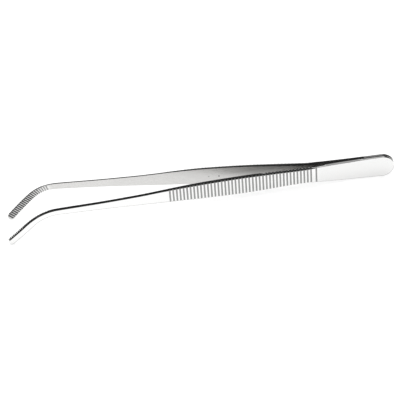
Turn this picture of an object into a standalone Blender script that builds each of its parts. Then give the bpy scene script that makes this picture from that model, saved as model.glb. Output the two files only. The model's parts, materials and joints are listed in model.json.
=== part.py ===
"""Long curved-tip tweezers for planting aquariums: two mirrored spring-steel arms, joined by spot
welds at the butt, each with a cross-ribbed grip, a slim blade and a serrated jaw that turns down.

The arms are modelled in the arm frame and stood up by the empty `stance`. In the arm frame local
-X runs from the butt to the tips, +Z is the edge that faces up and Y is across the two arms, with
the front arm at -Y. Dimensions are in millimetres until the vertices are made.
"""

import math

import bmesh
import bpy

MM = 0.001

# Arm centreline: straight from the butt, then one bend in the plane of the strip.
BEND_START = 216.1
BEND_RADIUS = 24.4
BEND_ANGLE = math.radians(44.9)
JAW_LENGTH = 23.1
ARM_END = BEND_START + BEND_RADIUS * BEND_ANGLE + JAW_LENGTH
BUTT_RADIUS = 7.95
TIP_RADIUS = 2.3

# Strip width and thickness at stations along the centreline, measured from the butt end.
WIDTHS = (
    (8, 15.9), (22, 14.8), (38, 13.5), (50, 12.3), (58, 11.9), (68, 12.2), (80, 13.0), (97, 13.7),
    (120, 12.85), (140, 11.0), (165, 8.0), (190, 5.9), (208, 5.15), (220, 4.65), (230, 4.6),
    (240, 4.8), (250, 4.8), (260, 4.7),
)
# Slight bow of the strip's middle line in its own plane.
RISES = (
    (0, 0.3), (14, 0.3), (32, 0.05), (46, 0.07), (60, 0.3), (72, 0.42), (85, 0.4), (97, 0.45),
    (110, 0.6), (125, 0.72), (136, 0.68), (150, 0.4), (165, 0.2), (213, 0.2), (224, 0.08),
    (231, 0.03), (239, 0.2), (260, 0.25),
)
THICKNESSES = (
    (0, 1.6), (14, 1.65), (22, 1.8), (30, 1.95), (38, 2.05), (46, 2.1), (54, 2.45), (64, 2.6),
    (80, 2.5), (100, 2.35), (125, 2.25), (140, 1.95), (152, 1.75), (172, 1.7), (215, 1.7), (235, 2.0), (260, 2.0),
)

# Spread of the arms: half of the butt clearance, then the lean of each arm away from the middle.
HALF_SEAM = 0.15
LEAN_START = 12.0
LEAN_FULL = 76.0
LEAN_GRIP = math.tan(math.radians(4.5))
JAW_LEAN_START = 225.0
LEAN_BLADE = math.tan(math.radians(2.85))
LEAN_TIP = -math.tan(math.radians(7.2))

# Grip ribs on the outer faces.
RIB_PITCH = 2.215
RIB_FIRST = 53.7
RIB_COUNT = 42
RIB_LAST_GROOVE = 50.3
GROOVE_DEPTH = 0.42
GROOVE_TOP = 1.1
GROOVE_FLOOR = 0.7

# Jaw serrations on the inner faces.
TOOTH_PITCH = 1.6
TOOTH_FIRST = 222.6
TOOTH_COUNT = 22
TOOTH_DEPTH = 0.42
TOOTH_LAND = 0.2

# The flexure: each arm turns about the middle of its strip here.
HINGE_STATION = 46.0
HINGE_GAP = 0.3

# Spot welds between the two arms.
WELD_STATIONS = (7.0, 15.0)
WELD_RADIUS = 2.6
WELD_HALF_THICKNESS = 0.4
WELD_CLEARANCE = 0.3

EDGE_BREAK = 0.22


def smooth(t):
    t = min(max(t, 0.0), 1.0)
    return t * t * (3.0 - 2.0 * t)


def monotone(table, s):
    """Cubic through the table's stations with no overshoot between them."""
    if s <= table[0][0]:
        return table[0][1]
    if s >= table[-1][0]:
        return table[-1][1]
    slopes = [(b[1] - a[1]) / (b[0] - a[0]) for a, b in zip(table, table[1:])]
    tangents = [slopes[0]]
    for m, n in zip(slopes, slopes[1:]):
        tangents.append(0.0 if m * n <= 0.0 else 2.0 * m * n / (m + n))
    tangents.append(slopes[-1])
    i = next(k for k in range(len(slopes)) if s <= table[k + 1][0])
    (x0, y0), (x1, y1) = table[i], table[i + 1]
    h = x1 - x0
    t = (s - x0) / h
    return (
        (1 + 2 * t) * (1 - t) ** 2 * y0
        + t * (1 - t) ** 2 * h * tangents[i]
        + t * t * (3 - 2 * t) * y1
        + t * t * (t - 1) * h * tangents[i + 1]
    )


def centreline(s):
    """(distance along the arm axis, height, heading below the axis) at station s."""
    turn = min(max((s - BEND_START) / BEND_RADIUS, 0.0), BEND_ANGLE)
    along = min(s, BEND_START) + BEND_RADIUS * math.sin(turn)
    height = monotone(RISES, s) - BEND_RADIUS * (1.0 - math.cos(turn))
    rest = max(s - BEND_START - BEND_RADIUS * BEND_ANGLE, 0.0)
    return along + rest * math.cos(turn), height - rest * math.sin(turn), turn


def half_width(s):
    if s < BUTT_RADIUS:
        return math.sqrt(max(BUTT_RADIUS**2 - (BUTT_RADIUS - s) ** 2, 0.0))
    half = monotone(WIDTHS, s) / 2.0
    past = s - (ARM_END - TIP_RADIUS)
    if past > 0.0:
        half = min(half, math.sqrt(max(TIP_RADIUS**2 - past**2, 0.0)))
    return half


def thickness(s):
    return monotone(THICKNESSES, s)


def lean(s):
    if s < LEAN_FULL:
        return LEAN_GRIP * smooth((s - LEAN_START) / (LEAN_FULL - LEAN_START))
    if s < JAW_LEAN_START:
        t = (s - LEAN_FULL) / (JAW_LEAN_START - LEAN_FULL)
        return LEAN_GRIP + (LEAN_BLADE - LEAN_GRIP) * t
    t = (s - JAW_LEAN_START) / (ARM_END - JAW_LEAN_START)
    return LEAN_BLADE + (LEAN_TIP - LEAN_BLADE) * t


def inner_offset(s, steps=400):
    """Distance of the inner face from the middle plane: the lean added up along the arm."""
    step = s / steps
    return HALF_SEAM + step * sum(lean((k + 0.5) * step) for k in range(steps))


def arm_point(s, v, depth):
    """Arm-frame point at station s, v across the width from -1 to 1, and depth out from the inner
    face as a share of the thickness. Y is counted away from the middle plane."""
    along, height, turn = centreline(s)
    reach = v * half_width(s)
    return (
        -(along + reach * math.sin(turn)),
        inner_offset(s) + depth * thickness(s),
        height + reach * math.cos(turn),
    )


def outline(first, last, count):
    for k in range(count + 1):
        s = first + (last - first) * k / count
        for v in (-1.0, 1.0):
            x, _, z = arm_point(s, v, 0.0)
            yield x, z


def stance_angle():
    """Tilt at which the butt and the tips touch one level surface."""
    butt = list(outline(0.0, 60.0, 600))
    tip = list(outline(BEND_START, ARM_END, 600))

    def lowest(points, angle):
        return min(z * math.cos(angle) - x * math.sin(angle) for x, z in points)

    low, high = 0.0, math.radians(15.0)
    for _ in range(50):
        middle = (low + high) / 2.0
        if lowest(tip, middle) < lowest(butt, middle):
            low = middle
        else:
            high = middle
    return (low + high) / 2.0


def stations(first, last, rounded_first, rounded_last):
    """Stations from first to last, closer together in the bend and at a rounded end."""
    marks = []
    if rounded_first:
        marks += [BUTT_RADIUS * (1.0 - math.cos(math.radians(a))) for a in (3, 15, 27, 39, 51, 63, 76)]
        first = BUTT_RADIUS
    end = ARM_END - TIP_RADIUS if rounded_last else last
    bend_end = BEND_START + BEND_RADIUS * BEND_ANGLE
    for low, high, pitch in (
        (0.0, 20.0, 6.1),
        (20.0, 84.0, 4.1),
        (84.0, BEND_START, 5.1),
        (BEND_START, bend_end, 1.6),
        (bend_end, ARM_END, 6.0),
    ):
        low, high = max(low, first), min(high, end)
        if high - low > 1e-6:
            count = max(1, round((high - low) / pitch))
            marks += [low + (high - low) * k / count for k in range(count)]
    marks.append(end)
    if rounded_last:
        marks += [end + TIP_RADIUS * math.sin(math.radians(a)) for a in (22, 44, 64, 80)]
    return marks


def collection(name, hidden=False):
    made = bpy.data.collections.new(name)
    bpy.context.scene.collection.children.link(made)
    made.hide_render = hidden
    return made


def steel(name, colour, roughness):
    material = bpy.data.materials.new(name)
    material.use_nodes = True
    shader = material.node_tree.nodes["Principled BSDF"]
    shader.inputs["Base Color"].default_value = (*colour, 1.0)
    shader.inputs["Metallic"].default_value = 1.0
    shader.inputs["Roughness"].default_value = roughness
    return material


def place(name, bm, owner, parent, origin, material=None):
    """Object from a bmesh in arm-frame millimetres, with its own origin."""
    bm.normal_update()
    bmesh.ops.recalc_face_normals(bm, faces=bm.faces)
    for vert in bm.verts:
        vert.co = [(c - o) * MM for c, o in zip(vert.co, origin)]
    mesh = bpy.data.meshes.new(name)
    bm.to_mesh(mesh)
    bm.free()
    obj = bpy.data.objects.new(name, mesh)
    obj.parent = parent
    obj.location = [c * MM for c in origin]
    owner.objects.link(obj)
    if material:
        mesh.materials.append(material)
        mesh.shade_smooth()
        mesh.set_sharp_from_angle(angle=math.radians(25.0))
    else:
        obj.hide_render = True
        obj.display_type = "WIRE"
    return obj


def strip(marks, side):
    """One closed strip of an arm over these stations: a grid laid on the inner face, then extruded
    out to the outer face."""
    bm = bmesh.new()
    bmesh.ops.create_grid(bm, x_segments=len(marks) - 1, y_segments=2, size=1.0)
    where = {}
    for vert in bm.verts:
        column = round((vert.co.x + 1.0) / 2.0 * (len(marks) - 1))
        where[vert] = (marks[column], vert.co.y)
    inner = list(bm.verts)
    out = bmesh.ops.extrude_face_region(bm, geom=list(bm.faces), use_keep_orig=True)
    outer = [item for item in out["geom"] if isinstance(item, bmesh.types.BMVert)]
    for vert in outer:
        column = round((vert.co.x + 1.0) / 2.0 * (len(marks) - 1))
        where[vert] = (marks[column], vert.co.y)
    for verts, depth in ((inner, 0.0), (outer, 1.0)):
        for vert in verts:
            x, y, z = arm_point(*where[vert], depth)
            vert.co = (x, side * y, z)
    return bm


def bar(bm, s, side, outline_points, face_depth, past):
    """A prism across the strip at station s. Its outline is (along the arm, out from the face)."""
    along, height, turn = centreline(s)
    face = inner_offset(s) + face_depth * thickness(s)
    reach = half_width(s) + past
    ends = []
    for across in (-reach, reach):
        ring = []
        for u, out in outline_points:
            x = -(along + u * math.cos(turn) + across * math.sin(turn))
            z = height - u * math.sin(turn) + across * math.cos(turn)
            ring.append(bm.verts.new((x, side * (face + out), z)))
        ends.append(ring)
    low, high = ends
    bm.faces.new(low)
    bm.faces.new(list(reversed(high)))
    for k in range(len(low)):
        j = (k + 1) % len(low)
        bm.faces.new((low[k], high[k], high[j], low[j]))


def groove_cutter(side):
    """The valleys between the grip ribs, as one mesh of separate bars."""
    bm = bmesh.new()
    top, floor = GROOVE_TOP / 2.0, GROOVE_FLOOR / 2.0
    section = (
        (-top, 0.6), (-top, 0.0), (-floor, -GROOVE_DEPTH), (floor, -GROOVE_DEPTH), (top, 0.0), (top, 0.6),
    )
    places = [RIB_LAST_GROOVE] + [RIB_FIRST + RIB_PITCH * k for k in range(RIB_COUNT)]
    for s in places:
        bar(bm, s, side, section, 1.0, 1.0)
    return bm


def tooth_cutter(side):
    """The valleys between the jaw teeth, as one mesh of separate bars."""
    bm = bmesh.new()
    half = (TOOTH_PITCH - TOOTH_LAND) / 2.0
    section = ((-half, -0.5), (-half, 0.0), (0.0, TOOTH_DEPTH), (half, 0.0), (half, -0.5))
    for k in range(TOOTH_COUNT):
        bar(bm, TOOTH_FIRST + TOOTH_PITCH * k, side, section, 0.0, 1.0)
    return bm


def disc(radius, y_low, y_high, station, segments=24):
    """A short cylinder across the arms at a weld station."""
    bm = bmesh.new()
    bmesh.ops.create_cone(
        bm, cap_ends=True, segments=segments, radius1=radius, radius2=radius, depth=y_high - y_low
    )
    for vert in bm.verts:
        x, y, z = vert.co
        vert.co = (x - station, z + (y_low + y_high) / 2.0, y)
    return bm


def bevel(obj, width, segments=1):
    made = obj.modifiers.new("edge_break", "BEVEL")
    made.width = width * MM
    made.segments = segments
    made.limit_method = "ANGLE"
    made.angle_limit = math.radians(50.0)
    made.use_clamp_overlap = True


def cut(obj, cutter, name):
    made = obj.modifiers.new(name, "BOOLEAN")
    made.operation = "DIFFERENCE"
    made.solver = "EXACT"
    made.object = cutter


def main():
    for old in list(bpy.data.objects):
        bpy.data.objects.remove(old)
    parts = collection("aquascaping_tweezers")
    cutters = collection("cutters", hidden=True)

    angle = stance_angle()
    spots = [
        (x * math.cos(angle) + z * math.sin(angle), z * math.cos(angle) - x * math.sin(angle))
        for x, z in outline(0.0, ARM_END, 4000)
    ]
    stance = bpy.data.objects.new("stance", None)
    stance.rotation_euler = (0.0, angle, 0.0)
    stance.location = (
        -(min(x for x, _ in spots) + max(x for x, _ in spots)) / 2.0 * MM,
        0.0,
        -min(z for _, z in spots) * MM,
    )
    parts.objects.link(stance)

    root_marks = stations(0.0, HINGE_STATION - HINGE_GAP / 2.0, True, False)
    blade_marks = stations(HINGE_STATION + HINGE_GAP / 2.0, ARM_END, False, True)
    hinge_y = inner_offset(HINGE_STATION) + thickness(HINGE_STATION) / 2.0

    for arm, side in (("front_arm", -1.0), ("rear_arm", 1.0)):
        root = place(
            f"{arm}_root", strip(root_marks, side), parts, stance, (0.0, 0.0, 0.0),
            steel(f"{arm}_root_steel", (0.80, 0.80, 0.79), 0.22),
        )
        bevel(root, EDGE_BREAK)
        for number, station in enumerate(WELD_STATIONS, 1):
            pocket = place(
                f"{arm}_pocket_{number}",
                disc(WELD_RADIUS + WELD_CLEARANCE, -(WELD_HALF_THICKNESS + WELD_CLEARANCE),
                     WELD_HALF_THICKNESS + WELD_CLEARANCE, station),
                cutters, stance, (0.0, 0.0, 0.0),
            )
            cut(root, pocket, f"weld_pocket_{number}")

        hinge = (-HINGE_STATION, side * hinge_y, 0.0)
        blade = place(
            f"{arm}_blade", strip(blade_marks, side), parts, stance, hinge,
            steel(f"{arm}_blade_steel", (0.80, 0.80, 0.79), 0.24),
        )
        bevel(blade, EDGE_BREAK)
        ribs = place(f"{arm}_grooves", groove_cutter(side), cutters, stance, (0.0, 0.0, 0.0))
        teeth = place(f"{arm}_teeth", tooth_cutter(side), cutters, stance, (0.0, 0.0, 0.0))
        cut(blade, ribs, "grip_grooves")
        cut(blade, teeth, "jaw_teeth")

    for number, station in enumerate(WELD_STATIONS, 1):
        nugget = place(
            f"weld_nugget_{number}",
            disc(WELD_RADIUS, -WELD_HALF_THICKNESS, WELD_HALF_THICKNESS, station),
            parts, stance, (0.0, 0.0, 0.0), steel(f"weld_nugget_{number}_steel", (0.62, 0.61, 0.60), 0.45),
        )
        bevel(nugget, 0.12)


main()
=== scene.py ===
import json
import math

import bmesh
import bpy
import numpy as np
from mathutils import Matrix, Vector


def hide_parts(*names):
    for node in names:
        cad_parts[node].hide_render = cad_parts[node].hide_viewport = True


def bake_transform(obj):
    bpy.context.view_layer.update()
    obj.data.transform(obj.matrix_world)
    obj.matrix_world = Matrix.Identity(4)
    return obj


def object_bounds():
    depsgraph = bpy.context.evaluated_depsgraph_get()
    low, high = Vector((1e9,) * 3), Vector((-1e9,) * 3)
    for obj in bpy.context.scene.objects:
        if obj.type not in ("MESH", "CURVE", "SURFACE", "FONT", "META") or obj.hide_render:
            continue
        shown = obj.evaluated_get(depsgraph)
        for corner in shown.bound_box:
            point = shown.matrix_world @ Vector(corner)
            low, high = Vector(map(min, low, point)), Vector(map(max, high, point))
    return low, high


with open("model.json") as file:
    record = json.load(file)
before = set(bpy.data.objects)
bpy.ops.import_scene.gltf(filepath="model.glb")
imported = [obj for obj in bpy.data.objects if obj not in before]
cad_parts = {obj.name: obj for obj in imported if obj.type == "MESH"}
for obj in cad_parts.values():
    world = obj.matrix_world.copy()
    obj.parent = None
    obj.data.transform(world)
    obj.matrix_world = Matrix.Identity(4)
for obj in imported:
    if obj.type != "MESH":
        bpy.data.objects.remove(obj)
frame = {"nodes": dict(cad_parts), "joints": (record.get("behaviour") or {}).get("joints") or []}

CAD_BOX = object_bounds()
MM = 0.001

# ---------------------------------------------------------------- the arms' shape, in millimetres
BEND_START, BEND_RADIUS, BEND_ANGLE, JAW_LENGTH = 216.1, 24.4, math.radians(44.9), 23.1
BEND_END = BEND_START + BEND_RADIUS * BEND_ANGLE
ARM_END = BEND_END + JAW_LENGTH
BUTT_RADIUS, TIP_RADIUS = 7.95, 2.3
HINGE_STATION = 46.0

WIDTHS = (
    (8, 15.9), (22, 14.8), (38, 13.5), (50, 12.3), (58, 11.9), (68, 12.2), (80, 13.0), (97, 13.7),
    (120, 12.85), (140, 11.0), (165, 8.0), (190, 5.9), (208, 5.15), (220, 4.65), (230, 4.6),
    (240, 4.8), (250, 4.8), (260, 4.7),
)
RISES = (
    (0, 0.3), (14, 0.3), (32, 0.05), (46, 0.07), (60, 0.3), (72, 0.42), (85, 0.4), (97, 0.45),
    (110, 0.6), (125, 0.72), (136, 0.68), (150, 0.4), (165, 0.2), (213, 0.2), (224, 0.08),
    (231, 0.03), (239, 0.2), (260, 0.25),
)
THICKNESSES = (
    (0, 1.6), (14, 1.65), (22, 1.8), (30, 1.95), (38, 2.05), (46, 2.1), (54, 2.45), (64, 2.6),
    (80, 2.5), (100, 2.35), (125, 2.25), (140, 1.95), (152, 1.75), (172, 1.7), (215, 1.7), (235, 2.0), (260, 2.0),
)
# Outer edge rounding: how far in from the edge, and how deep. It is small on the flat butt.
ROUND_IN = {
    "front_arm": ((0, 0.10), (49, 0.12), (52.5, 0.35), (56, 0.5), (84, 0.5), (95, 0.4), (136, 0.5), (150, 0.36), (190, 0.4), (206, 0.5), (222, 0.65), (232, 0.6), (242, 0.4), (260, 0.4)),
    "rear_arm": ((0, 0.10), (49, 0.12), (52.5, 0.35), (56, 0.5), (80, 0.5), (110, 0.6), (150, 0.8), (260, 0.8)),
}
ROUND_DEEP = {
    "front_arm": ((0, 0.12), (49, 0.16), (52.5, 0.9), (56, 1.55), (64, 1.7), (80, 1.7), (95, 1.2), (150, 1.1), (260, 1.1)),
    "rear_arm": ((0, 0.12), (49, 0.16), (52.5, 0.7), (56, 1.0), (80, 1.0), (110, 1.05), (150, 1.0), (220, 1.0), (260, 0.85)),
}
# The inner face falls away a little towards its edges, more on the rear jaw.
INNER_IN = {
    "front_arm": ((0, 0.15), (18, 0.15), (22, 0.10), (260, 0.10)),
    "rear_arm": ((0, 0.12), (140, 0.14), (160, 0.25), (216, 0.25), (224, 0.9), (260, 1.1)),
}
INNER_DEEP = {
    "front_arm": ((0, 0.28), (18, 0.28), (22, 0.05), (260, 0.05)),
    "rear_arm": ((0, 0.07), (140, 0.10), (160, 0.12), (216, 0.12), (224, 0.2), (260, 0.26)),
}
CROWN = ((0, 0.04), (44, 0.05), (60, 0.12), (130, 0.12), (170, 0.08), (260, 0.06))
# Tilt of the ground edges in degrees: above zero they fall towards the seam, below zero away from it.
EDGE_TILT = {
    "front_arm": ((0, 8.5), (19, 8.5), (24, 8.0), (44, 8.0), (52, 13.0), (80, 13.0), (90, -6.0), (260, -6.0)),
    "rear_arm": ((0, -2.0), (19, -2.0), (23, 18.0), (60, 18.0), (80, 10.0), (105, 5.0), (150, 3.0), (260, 3.0)),
}
# The front arm's inner corner stands this much proud of the strip's edge.
LIFT = ((0, 0.0), (82, 0.0), (92, 0.15), (232, 0.16), (241, 0.4), (250, 0.4), (260, 0.25))

RIB_PITCH, RIB_FIRST, RIB_COUNT, RIB_LAST_GROOVE = 2.215, 53.7, 42, 50.3
GROOVE_DEPTH, GROOVE_TOP, GROOVE_FLOOR = 0.40, 1.16, 0.62
TOOTH_PITCH, TOOTH_FIRST, TOOTH_COUNT, TOOTH_DEPTH = 1.6, 222.6, 22, 0.40
HALF_SEAM = 0.15
LEAN_START, LEAN_FULL, LEAN_GRIP = 12.0, 76.0, math.tan(math.radians(4.5))
JAW_LEAN_START, LEAN_BLADE, LEAN_TIP = 225.0, math.tan(math.radians(2.85)), -math.tan(math.radians(7.2))


def monotone(table, s):
    """The table's stations joined by the same cubic that the CAD uses."""
    x = np.array([r[0] for r in table], float)
    y = np.array([r[1] for r in table], float)
    m = np.diff(y) / np.diff(x)
    both = m[:-1] * m[1:]
    with np.errstate(divide="ignore", invalid="ignore"):
        mid = np.where(both <= 0.0, 0.0, 2.0 * both / (m[:-1] + m[1:]))
    g = np.concatenate([[m[0]], mid, [m[-1]]])
    s = np.clip(s, x[0], x[-1])
    i = np.clip(np.searchsorted(x, s, side="left") - 1, 0, len(m) - 1)
    h = x[i + 1] - x[i]
    t = (s - x[i]) / h
    return (
        (1 + 2 * t) * (1 - t) ** 2 * y[i]
        + t * (1 - t) ** 2 * h * g[i]
        + t * t * (3 - 2 * t) * y[i + 1]
        + t * t * (t - 1) * h * g[i + 1]
    )


def smooth(t):
    t = np.clip(t, 0.0, 1.0)
    return t * t * (3.0 - 2.0 * t)


def centreline(s):
    turn = np.clip((s - BEND_START) / BEND_RADIUS, 0.0, BEND_ANGLE)
    along = np.minimum(s, BEND_START) + BEND_RADIUS * np.sin(turn)
    height = monotone(RISES, s) - BEND_RADIUS * (1.0 - np.cos(turn))
    rest = np.maximum(s - BEND_END, 0.0)
    return along + rest * np.cos(turn), height - rest * np.sin(turn), turn


def half_width(s):
    half = monotone(WIDTHS, s) / 2.0
    butt = np.sqrt(np.maximum(BUTT_RADIUS**2 - (BUTT_RADIUS - s) ** 2, 0.0))
    half = np.where(s < BUTT_RADIUS, butt, half)
    past = np.maximum(s - (ARM_END - TIP_RADIUS), 0.0)
    tip = np.sqrt(np.maximum(TIP_RADIUS**2 - past**2, 0.0))
    return np.where(past > 0.0, np.minimum(half, tip), half)


LEAN_S = np.linspace(0.0, ARM_END, 6001)


def lean_slope(s):
    grip = LEAN_GRIP * smooth((s - LEAN_START) / (LEAN_FULL - LEAN_START))
    blade = LEAN_GRIP + (LEAN_BLADE - LEAN_GRIP) * (s - LEAN_FULL) / (JAW_LEAN_START - LEAN_FULL)
    jaw = LEAN_BLADE + (LEAN_TIP - LEAN_BLADE) * (s - JAW_LEAN_START) / (ARM_END - JAW_LEAN_START)
    return np.where(s < LEAN_FULL, grip, np.where(s < JAW_LEAN_START, blade, jaw))


_slope = lean_slope(LEAN_S)
_sum = np.concatenate([[0.0], np.cumsum((_slope[1:] + _slope[:-1]) / 2.0 * np.diff(LEAN_S))])


def inner_offset(s):
    return HALF_SEAM + np.interp(s, LEAN_S, _sum)


def groove(s):
    """1 on the floor of a grip groove, 0 on the ribs and on the plain metal."""
    centres = np.concatenate([[RIB_LAST_GROOVE], RIB_FIRST + RIB_PITCH * np.arange(RIB_COUNT)])
    near = np.abs(s[:, None] - centres[None, :]).min(axis=1)
    return 1.0 - smooth((near - GROOVE_FLOOR / 2.0) / (GROOVE_TOP / 2.0 - GROOVE_FLOOR / 2.0))


def tooth(s):
    """1 at the bottom of a jaw valley, 0 on the crests, with slightly blunt crests and valleys."""
    centres = TOOTH_FIRST + TOOTH_PITCH * np.arange(TOOTH_COUNT)
    near = np.abs(s[:, None] - centres[None, :]).min(axis=1)
    ramp = np.clip(near / (TOOTH_PITCH / 2.0 - 0.06), 0.0, 1.0)
    return 1.0 - (ramp + 0.12 * np.sin(2.0 * np.pi * ramp) / 2.0)


def strip_stations():
    """Stations along the arm: dense where there are ribs, teeth, the bend and the rounded ends."""
    marks = list(BUTT_RADIUS * (1.0 - np.cos(np.radians(np.linspace(0.0, 90.0, 30)))))
    marks += list(np.arange(BUTT_RADIUS + 0.9, RIB_LAST_GROOVE - 1.6, 1.0))
    for centre in np.concatenate([[RIB_LAST_GROOVE], RIB_FIRST + RIB_PITCH * np.arange(RIB_COUNT)]):
        marks += [centre + d for d in (-0.78, -0.58, -0.52, -0.445, -0.37, -0.31, -0.12, 0.12, 0.31, 0.37, 0.445, 0.52, 0.58, 0.78)]
    marks += list(np.arange(RIB_FIRST + RIB_PITCH * (RIB_COUNT - 1) + 1.6, BEND_START, 1.2))
    marks += list(np.arange(BEND_START, TOOTH_FIRST - 0.7, 0.7))
    end = ARM_END - TIP_RADIUS
    for centre in TOOTH_FIRST + TOOTH_PITCH * np.arange(TOOTH_COUNT):
        marks += [centre + d for d in (-0.8, -0.72, -0.54, -0.36, -0.18, 0.0, 0.18, 0.36, 0.54, 0.72)]
    marks = [m for m in marks if m < end - 0.02]
    marks += list(end + TIP_RADIUS * np.sin(np.radians(np.linspace(0.0, 90.0, 22))))
    marks = np.unique(np.round(marks, 4))
    keep = [marks[0]]
    for m in marks[1:-1]:
        if m - keep[-1] > 0.03 or m < 0.3 or m > ARM_END - 0.3:
            keep.append(m)
    return np.array(keep + [ARM_END])


EDGE_STEPS = np.array([0.0, 0.02, 0.05, 0.1, 0.17, 0.26, 0.37, 0.5, 0.66, 0.86])


def across(w):
    """Positions across the strip, crowded towards both edges."""
    steps = EDGE_STEPS[None, :] * np.minimum(1.0, w[:, None] / 2.0)
    inner = w - steps[:, -1]
    middle = np.linspace(-1.0, 1.0, 11)[None, 1:-1] * inner[:, None]
    return np.concatenate([-(w[:, None] - steps), middle, (w[:, None] - steps)[:, ::-1]], axis=1)


def outline_distance(s, c):
    """Distance from each (station, across) point to the strip's outline in its own flat plane."""
    line = np.concatenate([
        BUTT_RADIUS * (1.0 - np.cos(np.radians(np.linspace(0.0, 90.0, 160)))),
        np.arange(BUTT_RADIUS + 0.1, ARM_END - TIP_RADIUS, 0.25),
        ARM_END - TIP_RADIUS + TIP_RADIUS * np.sin(np.radians(np.linspace(0.0, 90.0, 120))),
    ])
    half = half_width(line)
    out = np.empty_like(c)
    for i in range(len(s)):
        near = np.abs(line - s[i]) < 12.0
        ls, lw = line[near], half[near]
        a = np.stack([ls[:-1], lw[:-1]], 1)
        b = np.stack([ls[1:], lw[1:]], 1)
        p = np.stack([np.full(c.shape[1], s[i]), np.abs(c[i])], 1)
        ab = b - a
        t = ((p[:, None, :] - a[None]) * ab[None]).sum(-1) / np.maximum((ab * ab).sum(-1), 1e-12)[None]
        near_point = a[None] + np.clip(t, 0.0, 1.0)[..., None] * ab[None]
        out[i] = np.sqrt(((p[:, None, :] - near_point) ** 2).sum(-1)).min(axis=1)
    out[:, 0] = 0.0
    out[:, -1] = 0.0
    out[0] = 0.0
    out[-1] = 0.0
    return out


def quarter(distance, reach, deep):
    """How far a rounded edge has dropped below the face at this distance from the outline."""
    t = 0.88 * np.clip(1.0 - distance / reach, 0.0, 1.0)
    return deep * (1.0 - np.sqrt(1.0 - t * t)) / (1.0 - math.sqrt(1.0 - 0.88**2))


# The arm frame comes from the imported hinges: their axis is the strip's width direction.
JOINTS = {j["name"]: j for j in frame["joints"]}
_front, _rear = JOINTS["front_arm_flex"], JOINTS["rear_arm_flex"]
UP = Vector(_rear["axis"]).normalized()
BACK = Vector((0.0, 1.0, 0.0))
OUT = BACK.cross(UP)
HINGE = (Vector(_front["pos_m"]) + Vector(_rear["pos_m"])) / 2.0
ORIGIN = HINGE + OUT * (HINGE_STATION * MM)
TO_ROW = Matrix((
    (OUT.x, BACK.x, UP.x, ORIGIN.x),
    (OUT.y, BACK.y, UP.y, ORIGIN.y),
    (OUT.z, BACK.z, UP.z, ORIGIN.z),
    (0.0, 0.0, 0.0, 1.0),
))


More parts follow.
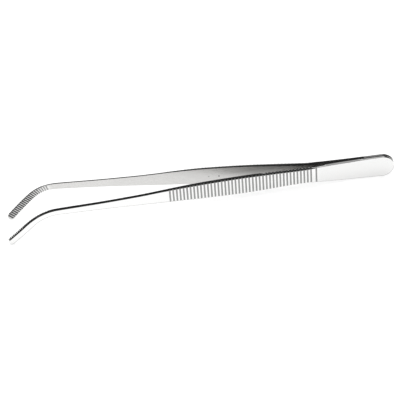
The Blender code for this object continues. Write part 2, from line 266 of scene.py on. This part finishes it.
def arm_mesh(name, side, seed):
    """One arm as one continuous leaf: two height fields over the strip, joined round its outline."""
    s = strip_stations()
    w = half_width(s)
    c = across(np.maximum(w, 1e-4))
    n, m = c.shape
    d = outline_distance(s, c)
    thick = monotone(THICKNESSES, s)
    small = np.minimum(1.0, np.maximum(w, 1e-3) / 1.2)
    arm = name.replace("_leaf", "")
    reach = np.minimum(monotone(ROUND_IN[arm], s), 0.5 * np.maximum(w, 0.4))
    deep = np.minimum(monotone(ROUND_DEEP[arm], s), 0.86 * thick)
    crown = monotone(CROWN, s)
    share = np.clip(np.abs(c) / np.maximum(w[:, None], 1e-3), 0.0, 1.0)
    # The far arm's grooves run out just before its edge.
    run_out = 1.0 if side < 0 else np.clip((d - 0.25) / 0.6, 0.0, 1.0)
    cut = GROOVE_DEPTH * groove(s)[:, None] * run_out * np.ones_like(c)
    # The two leaves touch along the weld, so the seam closes there from the CAD's clearance.
    closing = (HALF_SEAM - 0.02) * (1.0 - smooth((s - 18.0) / 26.0))
    base = inner_offset(s)
    outer = (
        base[:, None] + thick[:, None] - crown[:, None] * share**2
        - cut - quarter(d, reach[:, None], np.minimum(deep[:, None], thick[:, None] - cut - 0.3))
    )
    inner_in = np.minimum(monotone(INNER_IN[arm], s), 0.8 * np.maximum(w, 0.2))[:, None]
    inner = (
        base[:, None] - closing[:, None] + TOOTH_DEPTH * tooth(s)[:, None]
        + monotone(INNER_DEEP[arm], s)[:, None] * np.clip(1.0 - d / inner_in, 0.0, 1.0) ** 2
    )
    outer = np.maximum(outer, inner + 0.12)
    tilt = np.tan(np.radians(monotone(EDGE_TILT[arm], s))) * (thick - deep) / np.maximum(w, 0.4)
    narrow_in = 1.0 - np.clip(tilt, 0.0, 0.3)[:, None]
    if side < 0:
        narrow_in = narrow_in + (c > 0.0) * (monotone(LIFT, s) * small / np.maximum(w, 0.4))[:, None] * share**6
    narrow_out = 1.0 - np.clip(-tilt, 0.0, 0.3)[:, None]
    along, height, turn = centreline(s)
    verts, uvs = [], []
    for surface, across_mm in ((outer, c * narrow_out), (inner, c * narrow_in)):
        x = -(along[:, None] + across_mm * np.sin(turn)[:, None])
        z = height[:, None] + across_mm * np.cos(turn)[:, None]
        verts.append(np.stack([x, side * surface, z], -1).reshape(-1, 3))
        uvs.append(np.stack([np.repeat(s[:, None], m, 1), c], -1).reshape(-1, 2))
    verts = np.concatenate(verts) * MM
    matrix = np.array(TO_ROW)
    verts = verts @ matrix[:3, :3].T + matrix[:3, 3]
    strip = np.concatenate(uvs)
    faces = []
    half = n * m
    for i in range(n - 1):
        a, b = i * m, (i + 1) * m
        for j in range(m - 1):
            faces.append((a + j, a + j + 1, b + j + 1, b + j))
            faces.append((half + a + j, half + b + j, half + b + j + 1, half + a + j + 1))
        faces.append((a, b, half + b, half + a))
        faces.append((a + m - 1, half + a + m - 1, half + b + m - 1, b + m - 1))
    if side > 0:
        faces = [f[::-1] for f in faces]
    mesh = bpy.data.meshes.new(name)
    mesh.from_pydata([tuple(v) for v in verts], [], faces)
    along_mm = mesh.attributes.new("strip_along", "FLOAT", "POINT")
    along_mm.data.foreach_set("value", strip[:, 0].astype(np.float32))
    crossing = mesh.attributes.new("strip_across", "FLOAT", "POINT")
    crossing.data.foreach_set("value", strip[:, 1].astype(np.float32))
    # How deep in a groove or between two teeth: the material paints shade there and makes that metal rougher.
    face_only = np.clip(d / 0.12, 0.0, 1.0)
    valley = np.concatenate([
        (groove(s)[:, None] * face_only).reshape(-1),
        (tooth(s)[:, None] * face_only).reshape(-1),
    ])
    valley_shade_and_rough_mark = mesh.attributes.new("strip_valley", "FLOAT", "POINT")
    valley_shade_and_rough_mark.data.foreach_set("value", valley.astype(np.float32))
    layer = np.concatenate([np.zeros(half), np.ones(half)])
    which = mesh.attributes.new("strip_inner", "FLOAT", "POINT")
    which.data.foreach_set("value", layer.astype(np.float32))
    edge = mesh.attributes.new("strip_edge", "FLOAT", "POINT")
    edge.data.foreach_set("value", np.tile(d.reshape(-1), 2).astype(np.float32))
    bm = bmesh.new()
    bm.from_mesh(mesh)
    bmesh.ops.remove_doubles(bm, verts=bm.verts, dist=2e-7)
    bmesh.ops.dissolve_degenerate(bm, edges=bm.edges, dist=1e-7)
    bm.normal_update()
    bmesh.ops.recalc_face_normals(bm, faces=bm.faces)
    bm.to_mesh(mesh)
    bm.free()
    mesh.shade_smooth()
    mesh.set_sharp_from_angle(angle=math.radians(38.0))
    # The ground edge meets the outer face's rounding in a crisp line.
    on_outline = np.empty(len(mesh.vertices), np.float32)
    on_inner = np.empty(len(mesh.vertices), np.float32)
    mesh.attributes["strip_edge"].data.foreach_get("value", on_outline)
    mesh.attributes["strip_inner"].data.foreach_get("value", on_inner)
    ends = np.empty(2 * len(mesh.edges), np.int32)
    mesh.edges.foreach_get("vertices", ends)
    rim = ((on_outline < 1e-4) & (on_inner < 0.5))[ends.reshape(-1, 2)].all(axis=1)
    crisp = np.empty(len(mesh.edges), bool)
    mesh.attributes["sharp_edge"].data.foreach_get("value", crisp)
    mesh.attributes["sharp_edge"].data.foreach_set("value", crisp | rim)
    obj = bpy.data.objects.new(name, mesh)
    bpy.context.scene.collection.objects.link(obj)
    return obj


# ---------------------------------------------------------------- materials
def nodes_of(name):
    material = bpy.data.materials.new(name)
    material.use_nodes = True
    tree = material.node_tree
    return material, tree, tree.nodes["Principled BSDF"]


def attribute(tree, name):
    node = tree.nodes.new("ShaderNodeAttribute")
    node.attribute_type = "GEOMETRY"
    node.attribute_name = name
    return node.outputs["Fac"]


def maths(tree, kind, *values, clamp=False):
    node = tree.nodes.new("ShaderNodeMath")
    node.operation = kind
    node.use_clamp = clamp
    for socket, value in zip(node.inputs, values):
        if isinstance(value, (int, float)):
            socket.default_value = value
        else:
            tree.links.new(value, socket)
    return node.outputs[0]


def span(tree, value, low, high, out_low=0.0, out_high=1.0, kind="SMOOTHSTEP"):
    node = tree.nodes.new("ShaderNodeMapRange")
    node.interpolation_type = kind
    tree.links.new(value, node.inputs["Value"])
    for key, number in (("From Min", low), ("From Max", high), ("To Min", out_low), ("To Max", out_high)):
        node.inputs[key].default_value = number
    return node.outputs["Result"]


def noise(tree, vector, scale, detail=3.0, rough=0.5):
    node = tree.nodes.new("ShaderNodeTexNoise")
    tree.links.new(vector, node.inputs["Vector"])
    node.inputs["Scale"].default_value = scale
    node.inputs["Detail"].default_value = detail
    node.inputs["Roughness"].default_value = rough
    return node.outputs["Fac"]


def combine(tree, x, y, z):
    node = tree.nodes.new("ShaderNodeCombineXYZ")
    for socket, value in zip(node.inputs, (x, y, z)):
        if isinstance(value, (int, float)):
            socket.default_value = value
        else:
            tree.links.new(value, socket)
    return node.outputs[0]


def mixed(tree, factor, a, b):
    node = tree.nodes.new("ShaderNodeMix")
    node.data_type = "RGBA"
    tree.links.new(factor, node.inputs[0])
    for index, value in ((6, a), (7, b)):
        if isinstance(value, tuple):
            node.inputs[index].default_value = (*value, 1.0)
        else:
            tree.links.new(value, node.inputs[index])
    return node.outputs[2]


def arm_steel(name, seed):
    """Stainless steel: polished outer face, satin inner face ground along the strip, ground butt edge."""
    material, tree, shader = nodes_of(name)
    along, cross = attribute(tree, "strip_along"), attribute(tree, "strip_across")
    inner, edge = attribute(tree, "strip_inner"), attribute(tree, "strip_edge")
    valley = attribute(tree, "strip_valley")
    grain = combine(tree, maths(tree, "MULTIPLY", along, 0.035), maths(tree, "MULTIPLY", cross, 2.2), seed)
    fine = noise(tree, grain, 3.0, 6.0, 0.62)
    grain2 = combine(tree, maths(tree, "MULTIPLY", along, 0.012), maths(tree, "MULTIPLY", cross, 6.5), seed + 4.0)
    hair = noise(tree, grain2, 4.0, 4.0, 0.7)
    cloud = noise(tree, combine(tree, maths(tree, "MULTIPLY", along, 0.06), maths(tree, "MULTIPLY", cross, 0.09), seed + 9.0), 1.0, 3.0, 0.55)
    # Wear: tiny bright nicks where the edges rub.
    nick = noise(tree, combine(tree, maths(tree, "MULTIPLY", along, 0.9), maths(tree, "MULTIPLY", cross, 0.9), seed + 2.0), 2.6, 4.0, 0.6)
    near_edge = span(tree, edge, 0.0, 0.55, 1.0, 0.0)
    # A painted shade line along the start of the lower edge's rounding on the outer faces, broken into dashes.
    outer_side = maths(tree, "SUBTRACT", 1.0, inner)
    off = maths(tree, "ABSOLUTE", maths(tree, "SUBTRACT", edge, span(tree, along, 110.0, 150.0, 0.22, 0.95)))
    painted_edge_shade_line = maths(tree, "MULTIPLY", outer_side, span(tree, off, 0.12, 0.26, 1.0, 0.0))
    painted_edge_shade_line = maths(tree, "MULTIPLY", painted_edge_shade_line, span(tree, cross, -0.3, 0.0, 1.0, 0.0))
    painted_edge_shade_line = maths(tree, "MULTIPLY", painted_edge_shade_line, span(tree, nick, 0.36, 0.5, 1.0, 0.45))
    wear = maths(tree, "MULTIPLY", near_edge, span(tree, nick, 0.52, 0.66))
    # The jaws' inner faces are matt from the cutting of the teeth.
    jaw = maths(tree, "MULTIPLY", inner, span(tree, along, 219.0, 223.5))
    butt = span(tree, along, 47.0, 51.0, 1.0, 0.0)

    polished = mixed(tree, fine, (0.79, 0.79, 0.785), (0.88, 0.88, 0.875))
    satin = mixed(tree, fine, (0.56, 0.555, 0.545), (0.70, 0.695, 0.685))
    # Painted shade on the satin inner face between the grips, where the arms come close together: strongest about
    # 84 to 88 mm along, and stronger towards one edge of the strip.
    painted_gap_shade = maths(tree, "MULTIPLY",
                 span(tree, along, 88.0, 128.0, 0.42, 0.0),
                 span(tree, along, 62.0, 84.0, 0.55, 1.0))
    painted_gap_shade = maths(tree, "MULTIPLY", painted_gap_shade, span(tree, cross, -3.5, 4.5, 0.1, 1.0))
    satin = mixed(tree, painted_gap_shade, satin, (0.10, 0.10, 0.098))
    colour = mixed(tree, inner, polished, satin)
    colour = mixed(tree, maths(tree, "MULTIPLY", butt, 0.55), colour, (0.74, 0.74, 0.735))
    colour = mixed(tree, maths(tree, "MULTIPLY", wear, 0.5), colour, (0.93, 0.93, 0.92))
    # Painted shade colours: dark grey in the grip grooves, near black between the jaw teeth.
    groove_painted_shade = mixed(tree, fine, (0.24, 0.24, 0.24), (0.36, 0.36, 0.355))
    tooth_gap_painted_shade = mixed(tree, fine, (0.03, 0.03, 0.03), (0.07, 0.07, 0.07))
    crest_root = mixed(tree, fine, (0.80, 0.80, 0.795), (0.92, 0.92, 0.915))
    crest_tip = mixed(tree, fine, (0.74, 0.74, 0.735), (0.90, 0.90, 0.895))
    worn = noise(tree, combine(tree, maths(tree, "MULTIPLY", along, 0.55), maths(tree, "MULTIPLY", cross, 0.55), seed + 14.0), 1.0, 2.0, 0.6)
    crest_tip = mixed(tree, span(tree, worn, 0.38, 0.62), (0.64, 0.64, 0.635), crest_tip)
    colour = mixed(tree, jaw, colour, mixed(tree, span(tree, along, 226.0, 236.0), crest_root, crest_tip))
    # Painted shade between the teeth, nearly up to the crests and a little lighter at the jaw's first teeth, and
    # in the grip grooves.
    between = maths(tree, "ADD",
                    maths(tree, "MULTIPLY", outer_side, valley),
                    maths(tree, "MULTIPLY", inner, span(tree, valley, 0.12, 0.62)))
    shade = maths(tree, "MULTIPLY", between, maths(tree, "SUBTRACT", 0.94, maths(tree, "MULTIPLY", inner, span(tree, along, 224.0, 236.0, 0.5, 0.0))))
    colour = mixed(tree, shade, colour, mixed(tree, inner, groove_painted_shade, tooth_gap_painted_shade))
    colour = mixed(tree, maths(tree, "MULTIPLY", painted_edge_shade_line, 0.85), colour, (0.26, 0.26, 0.255))
    # The narrow edges are ground smooth and bright from end to end.
    ground = span(tree, edge, 0.0, 0.03, 1.0, 0.0)
    colour = mixed(tree, ground, colour, mixed(tree, fine, (0.80, 0.80, 0.795), (0.90, 0.90, 0.895)))
    for place, depth in ((112.0, 0.85), (118.6, 0.4)):
        spot = maths(tree, "ADD",
                     maths(tree, "POWER", maths(tree, "SUBTRACT", along, place), 2.0),
                     maths(tree, "POWER", maths(tree, "ADD", cross, 0.2), 2.0))
        pit = maths(tree, "MULTIPLY", inner, span(tree, spot, 0.12, 0.42, depth, 0.0))
        colour = mixed(tree, pit, colour, (0.03, 0.03, 0.03))
    tree.links.new(colour, shader.inputs["Base Color"])
    shader.inputs["Metallic"].default_value = 1.0

    rough_outer = span(tree, fine, 0.25, 0.75, 0.10, 0.20, "LINEAR")
    rough_inner = span(tree, fine, 0.25, 0.75, 0.22, 0.36, "LINEAR")
    rough = maths(tree, "ADD",
                  maths(tree, "MULTIPLY", rough_outer, maths(tree, "SUBTRACT", 1.0, inner)),
                  maths(tree, "MULTIPLY", rough_inner, inner))
    rough = maths(tree, "ADD", rough, maths(tree, "MULTIPLY", butt, 0.05))
    rough = maths(tree, "ADD", rough, maths(tree, "MULTIPLY", jaw, 0.12))
    rough = maths(tree, "ADD", rough, maths(tree, "MULTIPLY", valley, 0.25))
    rough = maths(tree, "ADD", rough, span(tree, cloud, 0.35, 0.7, -0.02, 0.04, "LINEAR"))
    smooth_edge = span(tree, fine, 0.25, 0.75, 0.10, 0.15, "LINEAR")
    rough = maths(tree, "ADD",
                  maths(tree, "MULTIPLY", rough, maths(tree, "SUBTRACT", 1.0, ground)),
                  maths(tree, "MULTIPLY", smooth_edge, ground))
    tree.links.new(rough, shader.inputs["Roughness"])

    height = maths(tree, "ADD", maths(tree, "MULTIPLY", fine, 0.6), maths(tree, "MULTIPLY", hair, 0.4))
    bump = tree.nodes.new("ShaderNodeBump")
    bump.inputs["Strength"].default_value = 0.22
    bump.inputs["Distance"].default_value = 0.00003
    tree.links.new(height, bump.inputs["Height"])
    tree.links.new(bump.outputs["Normal"], shader.inputs["Normal"])
    return material


def weld_steel(name, seed):
    """Dull fused steel with patches of heat colour."""
    material, tree, shader = nodes_of(name)
    where = tree.nodes.new("ShaderNodeTexCoord").outputs["Object"]
    grit = noise(tree, where, 2400.0 + 60.0 * seed, 5.0, 0.6)
    patch = noise(tree, where, 420.0, 2.0, 0.5)
    colour = mixed(tree, grit, (0.50, 0.49, 0.48), (0.66, 0.65, 0.63))
    colour = mixed(tree, span(tree, patch, 0.45, 0.7, 0.0, 0.5), colour, (0.48, 0.42, 0.33))
    tree.links.new(colour, shader.inputs["Base Color"])
    shader.inputs["Metallic"].default_value = 1.0
    tree.links.new(span(tree, grit, 0.3, 0.7, 0.38, 0.6, "LINEAR"), shader.inputs["Roughness"])
    bump = tree.nodes.new("ShaderNodeBump")
    bump.inputs["Strength"].default_value = 0.5
    bump.inputs["Distance"].default_value = 0.00005
    tree.links.new(grit, bump.inputs["Height"])
    tree.links.new(bump.outputs["Normal"], shader.inputs["Normal"])
    return material


for arm, side, seed in (("front_arm", -1.0, 1.3), ("rear_arm", 1.0, 5.7)):
    leaf = arm_mesh(f"{arm}_leaf", side, seed)
    leaf.data.materials.append(arm_steel(f"{arm}_leaf_steel", seed))
    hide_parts(f"{arm}_root", f"{arm}_blade")
    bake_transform(leaf)

for number in (1, 2):
    nugget = frame["nodes"][f"weld_nugget_{number}"]
    nugget.data.materials.clear()
    nugget.data.materials.append(weld_steel(f"weld_nugget_{number}_fused", number))


# ---------------------------------------------------------------- floor, light and camera
def plain(name, colour, roughness):
    material, tree, shader = nodes_of(name)
    shader.inputs["Base Color"].default_value = (*colour, 1.0)
    shader.inputs["Roughness"].default_value = roughness
    return material


low = CAD_BOX[0][2]
floor_mesh = bpy.data.meshes.new("floor")
half = 4.0
floor_mesh.from_pydata(
    [(-half, -half, low), (half, -half, low), (half, half, low), (-half, half, low)], [], [(0, 1, 2, 3)]
)
floor = bpy.data.objects.new("floor", floor_mesh)
# A white acrylic table lit from below as well, which keeps the shadow faint.
floor.data.materials.append(plain("floor_acrylic", (0.55, 0.55, 0.55), 0.9))
glow = floor.data.materials[0].node_tree.nodes["Principled BSDF"]
glow.inputs["Emission Color"].default_value = (1.0, 1.0, 1.0, 1.0)
glow.inputs["Emission Strength"].default_value = 0.55
glow.inputs["Specular IOR Level"].default_value = 0.0
bpy.context.scene.collection.objects.link(floor)


def area(name, place, target, size, power, glossy):
    light = bpy.data.lights.new(name, "AREA")
    light.shape = "RECTANGLE"
    light.size, light.size_y = size
    light.energy = power
    obj = bpy.data.objects.new(name, light)
    obj.location = place
    obj.rotation_euler = (Vector(target) - Vector(place)).to_track_quat("-Z", "Y").to_euler()
    obj.visible_glossy = glossy
    bpy.context.scene.collection.objects.link(obj)
    return obj


area("soft_overhead", (0.0, 0.0, 1.6), (0, 0, 0), (2.4, 2.4), 18.0, False)

# The studio round the object: even light on the floor, a pale grey backdrop, and for the polished
# metal a bright horizon with a dark ceiling, as the black flags over a table-top set give.
world = bpy.data.worlds.new("studio")
bpy.context.scene.world = world
world.use_nodes = True
tree = world.node_tree
background = tree.nodes["Background"]
split = tree.nodes.new("ShaderNodeSeparateXYZ")
tree.links.new(tree.nodes.new("ShaderNodeTexCoord").outputs["Generated"], split.inputs[0])


def level_ramp(stops):
    ramp = tree.nodes.new("ShaderNodeValToRGB")
    ramp.color_ramp.interpolation = "LINEAR"
    first, last = ramp.color_ramp.elements[0], ramp.color_ramp.elements[1]
    first.position, first.color = stops[0][0], (stops[0][1],) * 3 + (1.0,)
    last.position, last.color = stops[-1][0], (stops[-1][1],) * 3 + (1.0,)
    for place, level in stops[1:-1]:
        ramp.color_ramp.elements.new(place).color = (level,) * 3 + (1.0,)
    tree.links.new(split.outputs["Z"], ramp.inputs["Fac"])
    return ramp.outputs["Color"]


behind = level_ramp((
    (0.0, 1.0), (0.10, 0.9), (0.24, 0.66), (0.33, 0.58), (0.42, 0.42), (0.50, 0.36), (0.57, 0.28), (0.64, 0.15), (0.70, 0.05), (0.80, 0.02),
))
in_front = level_ramp(((0.0, 1.0), (0.06, 0.95), (0.24, 0.04), (1.0, 0.01)))
reflected = mixed(tree, span(tree, split.outputs["Y"], -0.12, 0.12), in_front, behind)
path = tree.nodes.new("ShaderNodeLightPath")
seen = mixed(tree, path.outputs["Is Camera Ray"], (0.85, 0.85, 0.85), (0.80, 0.80, 0.80))
tree.links.new(mixed(tree, path.outputs["Is Glossy Ray"], seen, reflected), background.inputs["Color"])
background.inputs["Strength"].default_value = 1.0


def flag(name, centre, radius, first, last, top):
    """A curved black card on the floor, seen only in the metal's reflections."""
    count = 24
    verts, faces = [], []
    for k in range(count + 1):
        a = math.radians(first + (last - first) * k / count)
        x, y = centre[0] + radius * math.cos(a), centre[1] + radius * math.sin(a)
        verts += [(x, y, low - 0.01), (x, y, low + top)]
    for k in range(count):
        faces.append((2 * k, 2 * k + 1, 2 * k + 3, 2 * k + 2))
    mesh = bpy.data.meshes.new(name)
    mesh.from_pydata(verts, [], faces)
    obj = bpy.data.objects.new(name, mesh)
    mesh.materials.append(plain(f"{name}_felt", (0.012, 0.012, 0.012), 1.0))
    bpy.context.scene.collection.objects.link(obj)
    obj.visible_camera = obj.visible_diffuse = obj.visible_shadow = obj.visible_transmission = False
    return obj


flag("flag_left", (-0.12, 0.0), 0.45, 104.0, 222.0, 0.38)
flag("flag_right", (0.12, 0.0), 0.50, 33.0, 70.0, 0.40)


def floor_card(name, corners):
    """A black card lying on the floor beside the butt, seen only in the metal's reflections."""
    mesh = bpy.data.meshes.new(name)
    mesh.from_pydata([(x, y, low + 0.0004) for x, y in corners], [], [(0, 1, 2, 3)])
    obj = bpy.data.objects.new(name, mesh)
    mesh.materials.append(plain(f"{name}_felt", (0.012, 0.012, 0.012), 1.0))
    bpy.context.scene.collection.objects.link(obj)
    obj.visible_camera = obj.visible_diffuse = obj.visible_shadow = obj.visible_transmission = False
    return obj


floor_card("card_right", ((0.1262, 0.005), (0.56, 0.005), (0.56, 0.50), (0.1262, 0.50)))

# The photograph's viewing direction, given in a frame whose X axis is the line along the arms.
VIEW_AZIMUTH, VIEW_ELEVATION, VIEW_ROLL = math.radians(-1.47), math.radians(42.0), math.radians(5.40)
VIEW_DISTANCE, VIEW_FOCAL = 1.151, 1803.0
VIEW_PITCH = math.radians(0.65)
SHIFT = (0.11, -14.75)


def fit_to_row(v):
    """From the frame of the view numbers to the row's frame: the arm axis is VIEW_PITCH off its X."""
    x = v[0] * math.cos(VIEW_PITCH) - v[2] * math.sin(VIEW_PITCH)
    z = v[0] * math.sin(VIEW_PITCH) + v[2] * math.cos(VIEW_PITCH)
    return (TO_ROW.to_3x3() @ Vector((x, v[1], z))).normalized()


b = Vector((math.sin(VIEW_AZIMUTH) * math.cos(VIEW_ELEVATION), -math.cos(VIEW_AZIMUTH) * math.cos(VIEW_ELEVATION), math.sin(VIEW_ELEVATION)))
r = Vector((math.cos(VIEW_AZIMUTH), math.sin(VIEW_AZIMUTH), 0.0))
u = b.cross(r)
r2 = r * math.cos(VIEW_ROLL) - u * math.sin(VIEW_ROLL)
u2 = r * math.sin(VIEW_ROLL) + u * math.cos(VIEW_ROLL)
b, r2, u2 = (fit_to_row(v) for v in (b, r2, u2))
# The middle of the view: a point 125 mm along the arms, 1 mm below the arm axis.
target = TO_ROW @ Vector((-0.125, 0.0, -0.0005))
camera_data = bpy.data.cameras.new("camera")
camera = bpy.data.objects.new("camera", camera_data)
bpy.context.scene.collection.objects.link(camera)
bpy.context.scene.camera = camera
camera_data.sensor_width = 36.0
camera_data.lens = VIEW_FOCAL * 36.0 / 400.0
camera_data.clip_start, camera_data.clip_end = 0.01, 100.0
camera_data.shift_x = -(-0.5 + SHIFT[0]) / 400.0
camera_data.shift_y = (-0.5 + SHIFT[1]) / 400.0
place = target + b * VIEW_DISTANCE
camera.matrix_world = Matrix((
    (r2.x, u2.x, b.x, place.x),
    (r2.y, u2.y, b.y, place.y),
    (r2.z, u2.z, b.z, place.z),
    (0.0, 0.0, 0.0, 1.0),
))

bpy.context.scene.view_settings.view_transform = "Standard"
bpy.context.scene.view_settings.look = "None"
